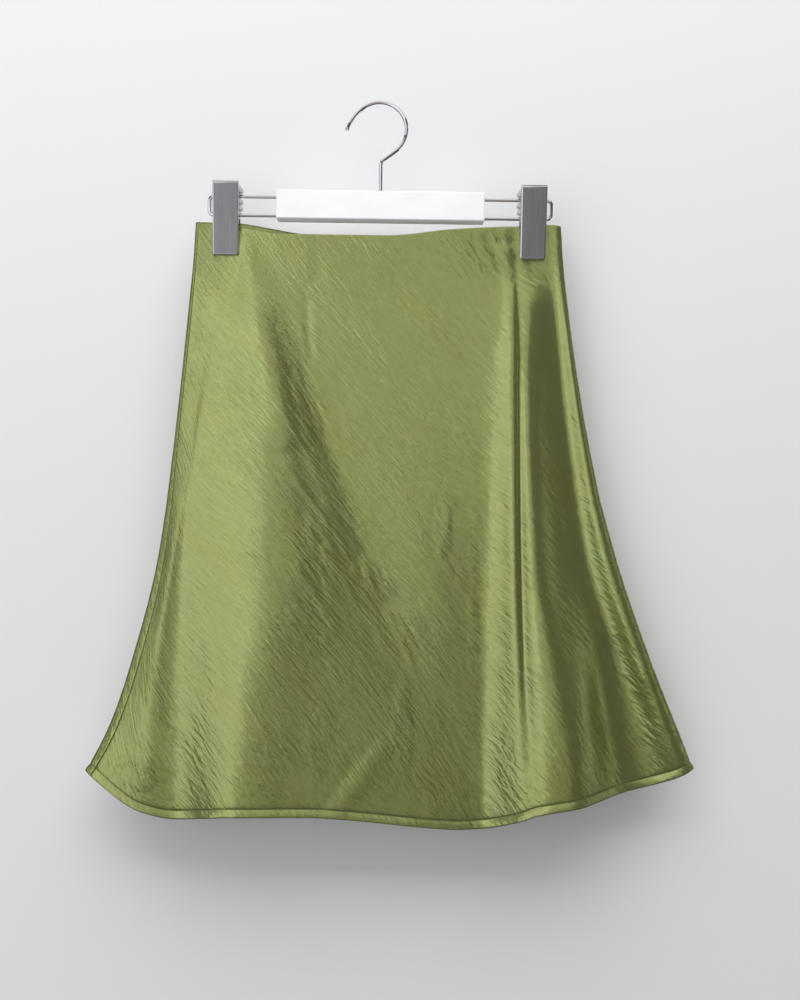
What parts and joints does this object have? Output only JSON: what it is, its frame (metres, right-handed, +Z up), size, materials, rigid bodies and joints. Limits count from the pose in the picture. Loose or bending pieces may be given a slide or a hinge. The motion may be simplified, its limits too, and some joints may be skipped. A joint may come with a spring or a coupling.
{
  "type": "slip skirt on a clip hanger",
  "caption": "Bias-cut satin slip skirt with a soft flare and a narrow turned-up hem, hung by its waist from a wooden-bar clip hanger with a wire hook.",
  "frame": {"origin": "inside top of the hanger's hook, where a rail or a peg carries it", "axes": "+X to the viewer's right along the hanger's bar, +Y away from the viewer through the skirt's back, +Z up"},
  "size_m": [0.5766, 0.058, 0.6875],
  "materials": {
    "satin": "olive green satin",
    "painted_wood": "white paint, satin",
    "bright_steel": "polished",
    "brushed_steel": "fine satin",
    "rubber": "matt"
  },
  "bodies": {
    "root": {"front_panel": "satin", "back_panel": "satin", "front_hem": "satin", "back_hem": "satin", "hook": "bright_steel", "bar": "painted_wood", "left_rod": "bright_steel", "right_rod": "bright_steel", "left_clip_front_jaw": "brushed_steel", "left_clip_back_jaw": "brushed_steel", "left_clip_front_pad": "rubber", "left_clip_back_pad": "rubber", "left_clip_saddle": "bright_steel", "right_clip_front_jaw": "brushed_steel", "right_clip_back_jaw": "brushed_steel", "right_clip_front_pad": "rubber", "right_clip_back_pad": "rubber", "right_clip_saddle": "bright_steel"}
  },
  "joints": []
}
